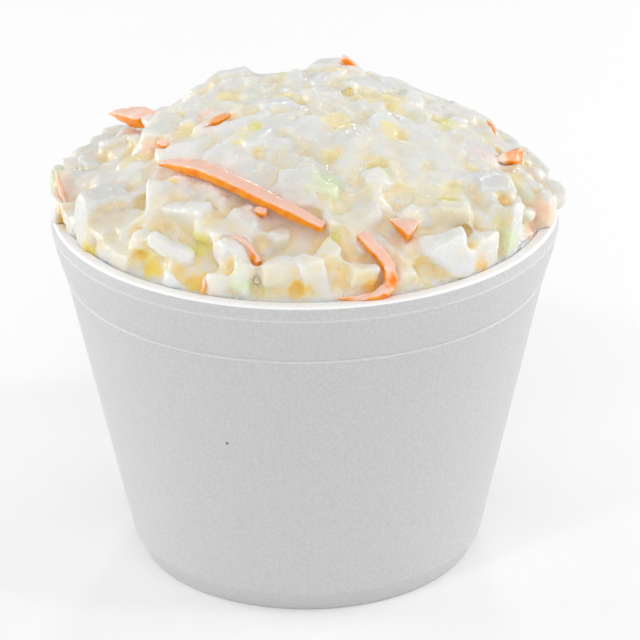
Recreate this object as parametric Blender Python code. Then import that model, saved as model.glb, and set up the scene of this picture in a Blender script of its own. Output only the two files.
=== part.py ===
"""A squat foam cup heaped with creamy coleslaw, in metres, +Z up.

The origin is on the cup's axis, on the surface that the foot ring stands on. The cup is one thin
moulded wall with a stacking shoulder under its lip. The coleslaw is one solid that fills the cup
from its floor and rises over the lip in an uneven heap of cut cabbage, which leans out over the
lip at its sides and back.
"""

from math import atan2, cos, exp, pi, radians, sin, sqrt

import bmesh
import bpy
from mathutils import Vector, noise

# Driving dimensions of the cup
CUP_HEIGHT = 0.0770
LIP_RADIUS = 0.0528
LIP_THICKNESS = 0.0030
LIP_ROUNDING = 0.0008
LIP_BAND = 0.0032  # height of the upright band round the lip
SHOULDER_HEIGHT = 0.0100  # from the lip band down to where the plain cone starts
SHOULDER_BULGE = 1.35  # the power of the shoulder's curve: 1 is a plain cone
WALL_TOP_RADIUS = 0.0502  # outside of the cone, just under the shoulder
WALL_FOOT_RADIUS = 0.0377  # outside of the cone, just above the foot
WALL_THICKNESS = 0.0027
FOOT_HEIGHT = 0.0050
FOOT_RADIUS = 0.0354
FOOT_ROUNDING = 0.0006
FOOT_RING = 0.0034  # width of the ring that the cup stands on
RECESS_DEPTH = 0.0016
FLOOR_THICKNESS = 0.0026
BEAD_RELIEF = 0.00018  # how far the two moulded rings stand out of the wall
BEAD_REACH = 0.0003  # half the height of such a ring
CUP_STEPS = 84

# Driving dimensions of the coleslaw
CLEARANCE = 0.0003  # between the food and the cup
HEAP_HEIGHT = 0.0240  # above the lip
HEAP_EDGE = 0.0060  # the part of that height which is the steep edge
HEAP_EDGE_POWER = 8  # how square that edge is: 2 is round
HEAP_POINT = 1.2  # the power of the crest's curve: 1 is a paraboloid, more is more pointed
HEAP_RINGS = 20
OVERHANG = 0.0006  # how far the heap may stand out past the lip
SWELLS = (  # broad swells and dips: x and y of the middle, radius, height
    (0.008, 0.023, 0.011, 0.0033),
    (-0.020, 0.025, 0.009, 0.0026),
    (-0.033, 0.022, 0.009, -0.0032),
    (-0.004, 0.026, 0.007, -0.0009),
    (-0.046, 0.010, 0.008, -0.0004),
    (0.050, 0.006, 0.008, -0.0030),
    (0.026, 0.020, 0.008, 0.0003),
    (0.032, -0.024, 0.012, 0.0012),
)
PIECE_SIZE = 0.0105  # the size of a cut piece of cabbage
PIECE_CREASE = 0.0016  # how deep the creases between pieces are
CREASE_SHARPNESS = 3  # more makes the creases narrower
PIECE_STEP = 0.0030  # how much further out one piece may lie than the next
CELLS_PER_PIECE = 97  # fine enough that each piece draws its own height
FINE_RELIEF = 0.0012
FINE_SIZE = 0.4  # of a piece's size
NOISE_ORIGIN = Vector((37.31, 21.17, 9.09))

FOAM_COLOUR = (0.86, 0.86, 0.86, 1.0)
SLAW_COLOUR = (0.90, 0.86, 0.72, 1.0)


def clear_scene():
    for old in list(bpy.data.objects):
        bpy.data.objects.remove(old)


def plain_material(name, colour, roughness):
    """A Principled surface of one colour, which is not a metal."""
    material = bpy.data.materials.new(name)
    material.use_nodes = True
    shader = material.node_tree.nodes["Principled BSDF"]
    shader.inputs["Base Color"].default_value = colour
    shader.inputs["Roughness"].default_value = roughness
    shader.inputs["Metallic"].default_value = 0.0
    return material


def add_object(name, body, material):
    """Makes the bmesh an object, smooth but for its sharp edges."""
    mesh = bpy.data.meshes.new(name)
    body.to_mesh(mesh)
    body.free()
    mesh.materials.append(material)
    mesh.shade_smooth()
    mesh.set_sharp_from_angle(angle=radians(40))
    obj = bpy.data.objects.new(name, mesh)
    bpy.context.scene.collection.objects.link(obj)
    return obj


def arc(centre_radius, centre_height, radius, start, end, steps):
    """Points of an arc in the plane of (radius, height), with its angles in degrees."""
    turns = [radians(start + (end - start) * i / steps) for i in range(steps + 1)]
    return [(centre_radius + radius * cos(t), centre_height + radius * sin(t)) for t in turns]


def bead(radius, height):
    """A fine moulded ring that stands a little out of the wall, bottom to top."""
    crest = (radius + BEAD_RELIEF, height)
    return [(radius, height - BEAD_REACH), crest, (radius, height + BEAD_REACH)]


def shoulder(steps):
    """The stacking shoulder, bottom to top: it curves out from the cone and meets the lip band."""
    top = CUP_HEIGHT - LIP_BAND
    drop = LIP_RADIUS - WALL_TOP_RADIUS
    shares = [i / steps for i in range(steps - 1, 0, -1)]
    return [(LIP_RADIUS - drop * s**SHOULDER_BULGE, top - SHOULDER_HEIGHT * s) for s in shares]


def cup_profile():
    """The wall's outline: from the middle of its underside, up the outside, to the inner floor."""
    lip_middle = CUP_HEIGHT - LIP_ROUNDING
    lip_inside = LIP_RADIUS - LIP_THICKNESS
    ring_inside = FOOT_RADIUS - FOOT_ROUNDING - FOOT_RING
    floor = RECESS_DEPTH + FLOOR_THICKNESS
    floor_radius = WALL_FOOT_RADIUS - WALL_THICKNESS
    outline = [(0.0, RECESS_DEPTH), (ring_inside - RECESS_DEPTH, RECESS_DEPTH), (ring_inside, 0.0)]
    outline += arc(FOOT_RADIUS - FOOT_ROUNDING, FOOT_ROUNDING, FOOT_ROUNDING, -90, -20, 2)
    outline += [(WALL_FOOT_RADIUS, FOOT_HEIGHT)]
    outline += bead(WALL_TOP_RADIUS, CUP_HEIGHT - LIP_BAND - SHOULDER_HEIGHT)
    outline += shoulder(5)
    outline += bead(LIP_RADIUS, CUP_HEIGHT - LIP_BAND)
    outline += arc(LIP_RADIUS - LIP_ROUNDING, lip_middle, LIP_ROUNDING, 0, 90, 3)
    outline += arc(lip_inside + LIP_ROUNDING, lip_middle, LIP_ROUNDING, 90, 180, 3)
    outline += [(floor_radius, floor + LIP_ROUNDING), (floor_radius - LIP_ROUNDING, floor), (0.0, floor)]
    return outline


def make_cup():
    """Turns the wall's outline round the cup's axis. Its ends lie on the axis, so it closes."""
    body = bmesh.new()
    points = [body.verts.new((r, 0.0, z)) for r, z in cup_profile()]
    edges = [body.edges.new(pair) for pair in zip(points, points[1:])]
    bmesh.ops.spin(
        body,
        geom=points + edges,
        cent=(0, 0, 0),
        axis=(0, 0, 1),
        dvec=(0, 0, 0),
        angle=2 * pi,
        steps=CUP_STEPS,
        use_merge=True,
    )
    bmesh.ops.remove_doubles(body, verts=body.verts, dist=1e-6)
    bmesh.ops.recalc_face_normals(body, faces=body.faces)
    return add_object("cup", body, plain_material("foam", FOAM_COLOUR, 0.55))


def swell(x, y):
    """How much the swells raise or lower the heap here."""
    total = 0.0
    for middle_x, middle_y, radius, height in SWELLS:
        total += height * exp(-((x - middle_x) ** 2 + (y - middle_y) ** 2) / radius**2)
    return total


def heap_surface(ring, turn):
    """A point of the smooth heap, by ring from 0 at its crest to HEAP_RINGS at the neck."""
    neck = LIP_RADIUS - LIP_THICKNESS - CLEARANCE
    level = CUP_HEIGHT + 2 * CLEARANCE
    if ring > HEAP_RINGS - 0.5:
        return Vector((neck * cos(turn), neck * sin(turn), level))
    share = ring / (HEAP_RINGS - 1)
    backward = 0.5 + 0.5 * sin(turn)
    sideward = abs(cos(turn))
    reach = neck + (LIP_RADIUS - neck) * max(backward, sideward)
    x, y = reach * share * cos(turn), reach * share * sin(turn)
    falloff = max(0.0, 1 - share**HEAP_EDGE_POWER)
    edge = HEAP_EDGE * sqrt(falloff)
    crest = (HEAP_HEIGHT - HEAP_EDGE) * max(0.0, 1 - share**2) ** HEAP_POINT
    return Vector((x, y, level + edge + crest + swell(x, y) * falloff))


def piece_relief(point):
    """How far the surface stands out here: rounded pieces of their own heights, with creases."""
    distances, centres = noise.voronoi(point / PIECE_SIZE + NOISE_ORIGIN)
    inside = min(1.0, (distances[1] - distances[0]) * CREASE_SHARPNESS)
    step = noise.cell(centres[0] * CELLS_PER_PIECE)
    fine = noise.noise(point / (FINE_SIZE * PIECE_SIZE) + NOISE_ORIGIN)
    return (PIECE_CREASE + PIECE_STEP * step) * inside - PIECE_CREASE + FINE_RELIEF * fine


def roughened(point, outward):
    """The point moved out to the uneven outline, kept above the lip and within the overhang."""
    moved = point + outward * piece_relief(point)
    reach = sqrt(moved.x**2 + moved.y**2)
    kept = min(reach, LIP_RADIUS + OVERHANG)
    turn = atan2(moved.y, moved.x)
    return Vector((kept * cos(turn), kept * sin(turn), max(moved.z, CUP_HEIGHT + 2 * CLEARANCE)))


def fill_cup(body):
    """Runs the heap's edge down inside the cup's wall and closes it over the floor."""
    floor = RECESS_DEPTH + FLOOR_THICKNESS + CLEARANCE
    floor_radius = WALL_FOOT_RADIUS - WALL_THICKNESS - LIP_ROUNDING - CLEARANCE
    neck = LIP_RADIUS - LIP_THICKNESS - CLEARANCE
    rings = [(neck, CUP_HEIGHT - LIP_ROUNDING), (floor_radius, floor)]
    edges = [edge for edge in body.edges if edge.is_boundary]
    for radius, height in rings:
        made = bmesh.ops.extrude_edge_only(body, edges=edges)["geom"]
        edges = [item for item in made if isinstance(item, bmesh.types.BMEdge)]
        for vertex in {vertex for edge in edges for vertex in edge.verts}:
            turn = atan2(vertex.co.y, vertex.co.x)
            vertex.co = Vector((radius * cos(turn), radius * sin(turn), height))
    bmesh.ops.contextual_create(body, geom=edges)


def make_coleslaw():
    """A hexagon of even triangles, rounded to a disc, raised to the heap and run into the cup."""
    body = bmesh.new()
    bmesh.ops.create_circle(body, cap_ends=True, cap_tris=True, segments=6, radius=HEAP_RINGS)
    bmesh.ops.subdivide_edges(body, edges=body.edges, cuts=HEAP_RINGS - 1, use_grid_fill=True)
    for vertex in body.verts:
        turn = atan2(vertex.co.y, vertex.co.x)
        corner = (turn - radians(90)) % radians(60) - radians(30)
        vertex.co = heap_surface(vertex.co.length * cos(corner) / cos(radians(30)), turn)
    bmesh.ops.recalc_face_normals(body, faces=body.faces)
    body.normal_update()
    heap = [vertex for vertex in body.verts if not vertex.is_boundary]
    places = [roughened(vertex.co, vertex.normal) for vertex in heap]
    for vertex, place in zip(heap, places):
        vertex.co = place
    fill_cup(body)
    bmesh.ops.recalc_face_normals(body, faces=body.faces)
    return add_object("coleslaw", body, plain_material("dressed_cabbage", SLAW_COLOUR, 0.35))


clear_scene()
make_cup()
make_coleslaw()
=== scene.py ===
# %% [markdown]
# # Creamy coleslaw heaped in a foam cup
#
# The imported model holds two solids: the cup, and the heap of food as one lump. This lesson
# dresses them. The cup is turned again with a finer outline and gets the skin of moulded foam.
# The heap is built up from separately cut pieces of cabbage. They are fused with the dressing
# that coats them into one wet skin, and ribbons of carrot lie in it.

from math import atan2, cos, exp, hypot, pi, radians, sin, sqrt
from random import Random

import bmesh
import bpy
import numpy as np
from mathutils import Matrix, Quaternion, Vector, noise
from mathutils.bvhtree import BVHTree


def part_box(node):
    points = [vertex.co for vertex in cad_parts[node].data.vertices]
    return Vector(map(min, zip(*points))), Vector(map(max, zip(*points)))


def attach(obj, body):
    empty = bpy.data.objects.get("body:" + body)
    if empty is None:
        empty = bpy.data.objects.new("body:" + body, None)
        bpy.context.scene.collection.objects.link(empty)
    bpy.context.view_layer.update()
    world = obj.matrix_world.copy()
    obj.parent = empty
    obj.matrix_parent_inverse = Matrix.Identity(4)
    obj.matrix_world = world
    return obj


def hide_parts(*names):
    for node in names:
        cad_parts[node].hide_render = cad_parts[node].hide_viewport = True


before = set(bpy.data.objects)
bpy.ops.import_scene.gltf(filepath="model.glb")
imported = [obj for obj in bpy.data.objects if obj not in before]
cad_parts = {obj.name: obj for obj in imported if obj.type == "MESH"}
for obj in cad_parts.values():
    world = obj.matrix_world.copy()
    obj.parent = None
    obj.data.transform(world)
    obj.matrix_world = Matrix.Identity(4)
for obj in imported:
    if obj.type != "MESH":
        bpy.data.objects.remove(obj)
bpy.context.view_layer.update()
_, cup_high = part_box("cup")

# %% [markdown]
# Everything below is in metres, but the sizes of food are easier to read in millimetres, so one
# name stands for a millimetre. Colours are written as a painter reads them, in sRGB hex, and
# one function turns them to the linear values that shaders take.

# %% units and colours
MM = 0.001


def linear(hex_colour):
    """An sRGB colour such as #f4efe2 as linear red, green, blue and alpha."""
    parts = [int(hex_colour[i : i + 2], 16) / 255 for i in (1, 3, 5)]
    return (*[p / 12.92 if p <= 0.04045 else ((p + 0.055) / 1.055) ** 2.4 for p in parts], 1.0)


print("sRGB #808080 is", round(linear("#808080")[0], 3), "in linear light")

# %% [markdown]
# A finish is a tree of shader nodes, and to write each node out takes many lines. These helpers
# add a node, a sum, a step from 0 to 1, a mix of two colours, or a new finish. Each of them
# takes plain values or the outputs of other nodes.

# %% helpers for finishes
def plug(tree, socket, value):
    """Sets an input to a value, or links it to the output of another node."""
    if isinstance(value, bpy.types.NodeSocket):
        tree.links.new(value, socket)
    else:
        socket.default_value = value


def plug_all(tree, node, sockets):
    """Sets the inputs that are named, with _ for a space."""
    for name, value in sockets.items():
        plug(tree, node.inputs[name.replace("_", " ")], value)


def add_node(tree, kind, settings=None, **sockets):
    """Adds a node. settings are its properties, and sockets its inputs: a value, or an output."""
    node = tree.nodes.new(kind)
    for name, value in (settings or {}).items():
        setattr(node, name, value)
    plug_all(tree, node, sockets)
    return node


def worked_out(tree, operation, *values):
    """The result of a mathematical operation."""
    node = add_node(tree, "ShaderNodeMath", {"operation": operation})
    for socket, value in zip(node.inputs, values):
        plug(tree, socket, value)
    return node.outputs[0]


def step_between(tree, value, start, full, kind="LINEAR"):
    """A share that goes from 0 to 1 while the value goes from start to full."""
    settings = {"interpolation_type": kind}
    node = add_node(
        tree, "ShaderNodeMapRange", settings, Value=value, From_Min=start, From_Max=full
    )
    return node.outputs["Result"]


def mixed(tree, share, low, high):
    """The low colour where the share is 0, and the high one where it is 1."""
    mix = add_node(tree, "ShaderNodeMix", {"data_type": "RGBA"}, Factor=share)
    plug(tree, mix.inputs[6], low)
    plug(tree, mix.inputs[7], high)
    return mix.outputs[2]


def new_finish(name, **sockets):
    """A material whose surface has these inputs, with its node tree and its shader."""
    material = bpy.data.materials.new(name)
    material.use_nodes = True
    tree = material.node_tree
    shader = tree.nodes["Principled BSDF"]
    plug_all(tree, shader, sockets)
    return material, tree, shader


paper, *_ = new_finish("matt_white_paper", Base_Color=linear("#fcfcfc"), Roughness=0.9)
print("the floor's finish is", paper.name)

# %% [markdown]
# ## The camera
#
# A long lens from well above the table keeps the cup's sides nearly parallel. The place is
# worked out from a target on the cup's axis line, a distance and an elevation, and the whole
# view is tipped by a fraction of a degree, as a hand-levelled tripod leaves it.

# %% camera
LENS_MM = 225.0
CAMERA_DISTANCE = 845.6 * MM
CAMERA_ELEVATION = radians(24.48)
CAMERA_ROLL = radians(0.39)
AIM = Vector((2.96 * MM, 0.0, 50.3 * MM))

camera_data = bpy.data.cameras.new("camera")
camera_data.lens = LENS_MM
camera_data.sensor_width = 36.0
camera = bpy.data.objects.new("camera", camera_data)
bpy.context.scene.collection.objects.link(camera)
toward = Vector((0.0, cos(CAMERA_ELEVATION), -sin(CAMERA_ELEVATION)))
camera.location = AIM - toward * CAMERA_DISTANCE
aimed = toward.to_track_quat("-Z", "Y")
camera.rotation_mode = "QUATERNION"
camera.rotation_quaternion = Quaternion(toward, CAMERA_ROLL) @ aimed
bpy.context.scene.camera = camera
print("camera at", [round(v, 3) for v in camera.location])

# %% [markdown]
# ## The light
#
# White food on white foam shows its form only if the light has a direction, yet hard light
# would burn it out. One wide softbox stands in front and above. Two low ones at the sides, a
# little behind, make the flanks of the cup brighter than its front. Three small ones give the
# wet dressing its glints, and the room itself gives a dim, even fill.

# %% softboxes and room
# Each softbox: name, place, height of its aim on the axis, width and height, and power.
SOFTBOXES = (
    ("overhead_softbox", (0.0, -1.4, 1.08), 0.05, (2.0, 2.0), 11.4),
    ("side_softbox", (-0.8, 0.25, 0.2), 0.04, (0.7, 0.36), 3.6),
    ("side_softbox", (0.8, 0.25, 0.2), 0.04, (0.7, 0.36), 3.6),
    ("small_softbox", (-0.45, -0.7, 0.95), 0.08, (0.1, 0.1), 0.9),
    ("small_softbox", (0.5, -0.3, 1.05), 0.08, (0.1, 0.1), 0.9),
    ("small_softbox", (0.1, 0.95, 0.7), 0.08, (0.1, 0.1), 0.9),
)
ROOM_STRENGTH = 0.53


def add_softbox(name, place, aim_height, size, power):
    """A rectangle of light that the camera doesn't see."""
    light_data = bpy.data.lights.new(name, "AREA")
    light_data.shape = "RECTANGLE"
    light_data.size, light_data.size_y = size
    light_data.energy = power
    light = bpy.data.objects.new(name, light_data)
    light.location = place
    light.rotation_mode = "QUATERNION"
    toward_cup = Vector((0, 0, aim_height)) - Vector(place)
    light.rotation_quaternion = toward_cup.to_track_quat("-Z", "Y")
    light.visible_camera = False
    bpy.context.scene.collection.objects.link(light)


for facts in SOFTBOXES:
    add_softbox(*facts)

room = bpy.data.worlds.new("room")
room.use_nodes = True
room.node_tree.nodes["Background"].inputs["Color"].default_value = linear("#ffffff")
room.node_tree.nodes["Background"].inputs["Strength"].default_value = ROOM_STRENGTH
bpy.context.scene.world = room
bpy.context.scene.view_settings.view_transform = "Standard"
print(len(SOFTBOXES), "softboxes")

# %% [markdown]
# ## The floor
#
# The cup stands on matt white paper. One flat square is enough, as long as it's so wide that
# its edge stays out of sight.

# %% floor
FLOOR_SIZE = 6.0

floor_mesh = bmesh.new()
bmesh.ops.create_grid(floor_mesh, x_segments=1, y_segments=1, size=FLOOR_SIZE / 2)
floor_data = bpy.data.meshes.new("floor")
floor_mesh.to_mesh(floor_data)
floor_mesh.free()
floor = bpy.data.objects.new("floor", floor_data)
bpy.context.scene.collection.objects.link(floor)
floor_data.materials.append(paper)
print("floor", FLOOR_SIZE, "m across")

# %% [markdown]
# ## The foam cup
#
# A foam food cup is steamed from small beads in a steel mould. The mould leaves a thick rounded
# lip with an upright band, a stacking shoulder that curves in under it, two fine raised lines
# where the mould's rings meet, a plain cone, and a foot that turns in. It is a turned shape, so
# one outline is spun round the axis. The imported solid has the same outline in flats, which
# would show as corners at the edge of the picture, so this finer one stands for it.

# %% outline of the cup
CUP_HEIGHT = cup_high.z
LIP_RADIUS = 52.8 * MM
LIP_THICKNESS = 3.0 * MM
LIP_ROUNDING = 0.8 * MM
LIP_BAND = 3.2 * MM
SHOULDER_HEIGHT = 10.0 * MM
SHOULDER_BULGE = 1.35
WALL_TOP_RADIUS = 50.2 * MM
WALL_FOOT_RADIUS = 37.7 * MM
WALL_THICKNESS = 2.7 * MM
FOOT_HEIGHT = 5.0 * MM
FOOT_RADIUS = 35.4 * MM
FOOT_ROUNDING = 0.6 * MM
FOOT_RING = 3.4 * MM
RECESS_DEPTH = 1.6 * MM
FLOOR_THICKNESS = 2.6 * MM
BEAD_RELIEF = 0.18 * MM
BEAD_REACH = 0.35 * MM


def arc(centre_radius, centre_height, radius, start, end, steps):
    """Points of an arc in the plane of (radius, height), with its angles in degrees."""
    turns = [radians(start + (end - start) * i / steps) for i in range(steps + 1)]
    return [(centre_radius + radius * cos(t), centre_height + radius * sin(t)) for t in turns]


def mould_line(radius, height, steps=8):
    """A fine round line that stands out of the wall, bottom to top."""
    shares = [2 * i / steps - 1 for i in range(steps + 1)]
    return [(radius + BEAD_RELIEF * (1 - s * s) ** 2, height + BEAD_REACH * s) for s in shares]


def shoulder(steps):
    """The stacking shoulder, bottom to top: it curves out from the cone to the lip's band."""
    top = CUP_HEIGHT - LIP_BAND
    drop = LIP_RADIUS - WALL_TOP_RADIUS
    shares = [i / steps for i in range(steps - 1, 0, -1)]
    return [(LIP_RADIUS - drop * s**SHOULDER_BULGE, top - SHOULDER_HEIGHT * s) for s in shares]


def cup_outline():
    """From the middle of the underside, up the outside and over the lip, to the inner floor."""
    lip_middle = CUP_HEIGHT - LIP_ROUNDING
    lip_inside = LIP_RADIUS - LIP_THICKNESS
    ring_inside = FOOT_RADIUS - FOOT_ROUNDING - FOOT_RING
    inner_floor = RECESS_DEPTH + FLOOR_THICKNESS
    inner_radius = WALL_FOOT_RADIUS - WALL_THICKNESS
    points = [(0.0, RECESS_DEPTH), (ring_inside - RECESS_DEPTH, RECESS_DEPTH), (ring_inside, 0.0)]
    points += arc(FOOT_RADIUS - FOOT_ROUNDING, FOOT_ROUNDING, FOOT_ROUNDING, -90, -20, 5)
    points += arc(WALL_FOOT_RADIUS - FOOT_ROUNDING, FOOT_HEIGHT, FOOT_ROUNDING, -25, 12, 4)
    points += mould_line(WALL_TOP_RADIUS, CUP_HEIGHT - LIP_BAND - SHOULDER_HEIGHT)
    points += shoulder(14)
    points += mould_line(LIP_RADIUS, CUP_HEIGHT - LIP_BAND)
    points += arc(LIP_RADIUS - LIP_ROUNDING, lip_middle, LIP_ROUNDING, 0, 90, 6)
    points += arc(lip_inside + LIP_ROUNDING, lip_middle, LIP_ROUNDING, 90, 180, 6)
    points += [(inner_radius, inner_floor + LIP_ROUNDING), (inner_radius - LIP_ROUNDING, inner_floor)]
    return points + [(0.0, inner_floor)]


print("the cup's outline has", len(cup_outline()), "points")

# %% [markdown]
# The outline is spun round the axis in enough small turns that the cup looks round. A second
# helper makes a bmesh a piece: an object at the origin, shaded smooth except at creases.

# %% spin an outline and make it a piece
CUP_TURN_STEPS = 256
MERGED = 1e-6  # points nearer than this become one


def add_piece(name, body, material, crease_angle=40):
    """Makes the bmesh an object with this finish. Edges sharper than the angle stay sharp."""
    data = bpy.data.meshes.new(name)
    body.to_mesh(data)
    body.free()
    data.materials.append(material)
    data.shade_smooth()
    if crease_angle:
        data.set_sharp_from_angle(angle=radians(crease_angle))
    piece = bpy.data.objects.new(name, data)
    bpy.context.scene.collection.objects.link(piece)
    print(name, "has", len(data.polygons), "faces")
    return piece


def turned(points, steps):
    """Spins an outline whose ends lie on the axis, and closes it."""
    body = bmesh.new()
    verts = [body.verts.new((r, 0.0, z)) for r, z in points]
    edges = [body.edges.new(pair) for pair in zip(verts, verts[1:])]
    bmesh.ops.spin(
        body,
        geom=verts + edges,
        cent=(0, 0, 0),
        axis=(0, 0, 1),
        dvec=(0, 0, 0),
        angle=2 * pi,
        steps=steps,
        use_merge=True,
    )
    bmesh.ops.remove_doubles(body, verts=body.verts, dist=MERGED)
    bmesh.ops.recalc_face_normals(body, faces=body.faces)
    return body


print("one turn takes", CUP_TURN_STEPS, "steps")

# %% [markdown]
# Expanded polystyrene is white because light scatters inside its cells. The moulded skin is
# matt with a faint satin, and the beads show as shallow cells about a millimetre across with
# fine seams between them. The cells are a Voronoi pattern: its distance to the nearest edge
# gives the seams, and a finer noise gives the skin. Two specks of dirt are pressed into the
# wall.

# %% expanded polystyrene, steam moulded
BEAD_SIZE = 1.15 * MM
SEAM_SHARE = 0.12
SKIN_SIZE = 0.7 * MM
SKIN_RELIEF = 0.8
FOAM_WHITE = "#c9c9c9"
FOAM_SEAM = "#c3c3c3"
# the top of the lip is painted near white: a painted highlight, where the foam is pressed hardest
LIP_HIGHLIGHT_WHITE = "#fafafa"
# Each speck: its place on the wall and its radius in millimetres, and its colour.
SPECKS = (
    ((-16.0, -42.8, 42.5), 0.42, "#5c4438"),
    ((-46.2, -17.0, 59.3), 0.34, "#a8a8a8"),
)
SPECK_CORE = 0.4  # of its radius: inside that a speck has its full colour


def dirt_specks(tree, place, colour):
    """Puts each speck of dirt over the colour and returns the new colour."""
    for middle, radius, shade in SPECKS:
        apart = add_node(tree, "ShaderNodeVectorMath", {"operation": "DISTANCE"})
        plug(tree, apart.inputs[0], place)
        plug(tree, apart.inputs[1], Vector(middle) * MM)
        core = SPECK_CORE * radius * MM
        share = step_between(tree, apart.outputs["Value"], radius * MM, core)
        colour = mixed(tree, share, colour, linear(shade))
    return colour


def expanded_polystyrene():
    """Shallow cells and fine seams; the lip and mould lines, pressed hardest, are painted paler as a
    highlight.
    """
    material, tree, shader = new_finish("expanded_polystyrene_moulded", Roughness=0.5, IOR=1.45)
    place = add_node(tree, "ShaderNodeTexCoord").outputs["Object"]
    to_edge = {"feature": "DISTANCE_TO_EDGE"}
    cells = add_node(tree, "ShaderNodeTexVoronoi", to_edge, Vector=place, Scale=1 / BEAD_SIZE)
    seams = step_between(tree, cells.outputs["Distance"], 0.0, SEAM_SHARE, "SMOOTHSTEP")
    skin = add_node(tree, "ShaderNodeTexNoise", Vector=place, Scale=1 / SKIN_SIZE, Detail=3.0)
    height = worked_out(tree, "MULTIPLY_ADD", skin.outputs["Fac"], SKIN_RELIEF, seams)
    bump = add_node(tree, "ShaderNodeBump", Strength=0.45, Distance=0.1 * MM, Height=height)
    lip_highlight = add_node(tree, "ShaderNodeAttribute", {"attribute_name": "lip_and_line_highlight"})
    base = mixed(tree, seams, linear(FOAM_SEAM), linear(FOAM_WHITE))
    # painted highlight on top of the lip and on the mould lines
    base = mixed(tree, lip_highlight.outputs["Fac"], base, linear(LIP_HIGHLIGHT_WHITE))
    plug(tree, shader.inputs["Normal"], bump.outputs[0])
    plug(tree, shader.inputs["Base Color"], dirt_specks(tree, place, base))
    return material


foam = expanded_polystyrene()
print("the cup's finish is", foam.name)

# %% [markdown]
# The top of the lip and the raised mould lines are painted paler than the wall. The mould
# presses the foam hardest on top of the lip, where it closes, and a little on the mould
# lines, and the paler colour there is also a painted highlight from the light above. Every
# point of the cup keeps that share as an attribute, which the finish reads.

# %% the foam cup
LINE_HEIGHTS = (CUP_HEIGHT - LIP_BAND, CUP_HEIGHT - LIP_BAND - SHOULDER_HEIGHT)
# the mould lines get this share of the lip's painted highlight
LINE_HIGHLIGHT_SHARE = 0.2
LIP_CROWN = 0.7 * LIP_ROUNDING
WALL_MARGIN = 0.05 * MM


def lip_highlight_share(place):
    """How much paler this place of the cup is painted: pressed foam and a painted highlight."""
    if place.z > CUP_HEIGHT - LIP_CROWN:
        return 1.0
    if place.xy.length <= WALL_TOP_RADIUS - WALL_MARGIN:
        return 0.0
    away = min(abs(place.z - height) for height in LINE_HEIGHTS) / BEAD_REACH
    return LINE_HIGHLIGHT_SHARE * max(0.0, 1 - away**2)


foam_cup = add_piece("foam_cup", turned(cup_outline(), CUP_TURN_STEPS), foam)
# every point keeps its share of the painted highlight
lip_and_line_highlight = foam_cup.data.attributes.new("lip_and_line_highlight", "FLOAT", "POINT")
for item, vert in zip(lip_and_line_highlight.data, foam_cup.data.vertices):
    item.value = lip_highlight_share(vert.co)
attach(foam_cup, "root")
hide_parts("cup")

# %% [markdown]
# ## The shape of the heap
#
# Spooned food stands as a dome with a steep edge. One formula gives its height over the table
# at any place seen from above, and a few broad swells and dips make it as uneven as a spoon
# leaves it. Every piece is laid on this surface. It leans out over the lip at the sides and the
# back, and stays inside it at the front.

# %% the smooth heap
HEAP_HEIGHT = 23.5 * MM
HEAP_EDGE = 5.5 * MM
HEAP_EDGE_POWER = 8
HEAP_POINT = 1.2
LIP_INSIDE = LIP_RADIUS - LIP_THICKNESS
LIP_GAP = 0.06 * MM
# Each swell is the x and y of its middle, its radius, and its height, in millimetres.
SWELLS = (
    (8, 23, 11, 3.1),
    (-20, 25, 9, 2.8),
    (-33, 20, 9, -4.2),
    (-31, 32, 5.5, -3.0),
    (-4, 26, 7, -0.9),
    (-46, 10, 8, -1.8),
    (51, 5, 7, -5.0),
    (47, 14, 6, -2.0),
    (26, 20, 8, 0.3),
    (32, -24, 12, 1.2),
)


def heap_reach(turn):
    """How far out the heap comes in this direction."""
    lean = max(0.5 + 0.5 * sin(turn), abs(cos(turn)) ** 2)
    return LIP_INSIDE + (LIP_RADIUS - LIP_INSIDE) * lean


def heap_top(x, y):
    """The heap's height over the table at a place seen from above."""
    share = min(1.0, sqrt(x * x + y * y) / heap_reach(atan2(y, x)))
    edge = HEAP_EDGE * sqrt(1 - share**HEAP_EDGE_POWER)
    crest = (HEAP_HEIGHT - HEAP_EDGE) * (1 - share**2) ** HEAP_POINT
    swell = 0.0
    for middle_x, middle_y, radius, height in SWELLS:
        away = ((x / MM - middle_x) ** 2 + (y / MM - middle_y) ** 2) / radius**2
        swell += height * MM * exp(-away)
    return CUP_HEIGHT + edge + crest + swell * (1 - share**HEAP_EDGE_POWER)


def heap_outward(x, y, step=0.5 * MM):
    """The direction that points straight out of the heap there."""
    slope_x = (heap_top(x + step, y) - heap_top(x - step, y)) / (2 * step)
    slope_y = (heap_top(x, y + step) - heap_top(x, y - step)) / (2 * step)
    return Vector((-slope_x, -slope_y, 1.0)).normalized()


print("the heap is", round((heap_top(0, 0) - CUP_HEIGHT) / MM, 1), "mm above the lip")

# %% [markdown]
# Food can't enter the foam. A point of it that would is pushed back inside the wall, or lifted
# onto the lip if that is nearer. The wall is a cone with a rounded lip, so a formula tells how
# far out food may reach at each height.

# %% keep food out of the foam
LIP_CLIMB = 4 * MM  # no point is lifted further than this


def wall_inside(heights):
    """How far out food may reach at these heights: the wall's inner face, with its rounded lip."""
    drop = np.clip((CUP_HEIGHT - heights) / (CUP_HEIGHT - FOOT_HEIGHT), 0, 1)
    into = np.clip(heights - (CUP_HEIGHT - LIP_ROUNDING), 0, LIP_ROUNDING)
    rounding = LIP_ROUNDING - np.sqrt(LIP_ROUNDING**2 - into**2)
    return LIP_INSIDE - LIP_GAP - drop * (WALL_TOP_RADIUS - WALL_FOOT_RADIUS) + rounding


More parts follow.
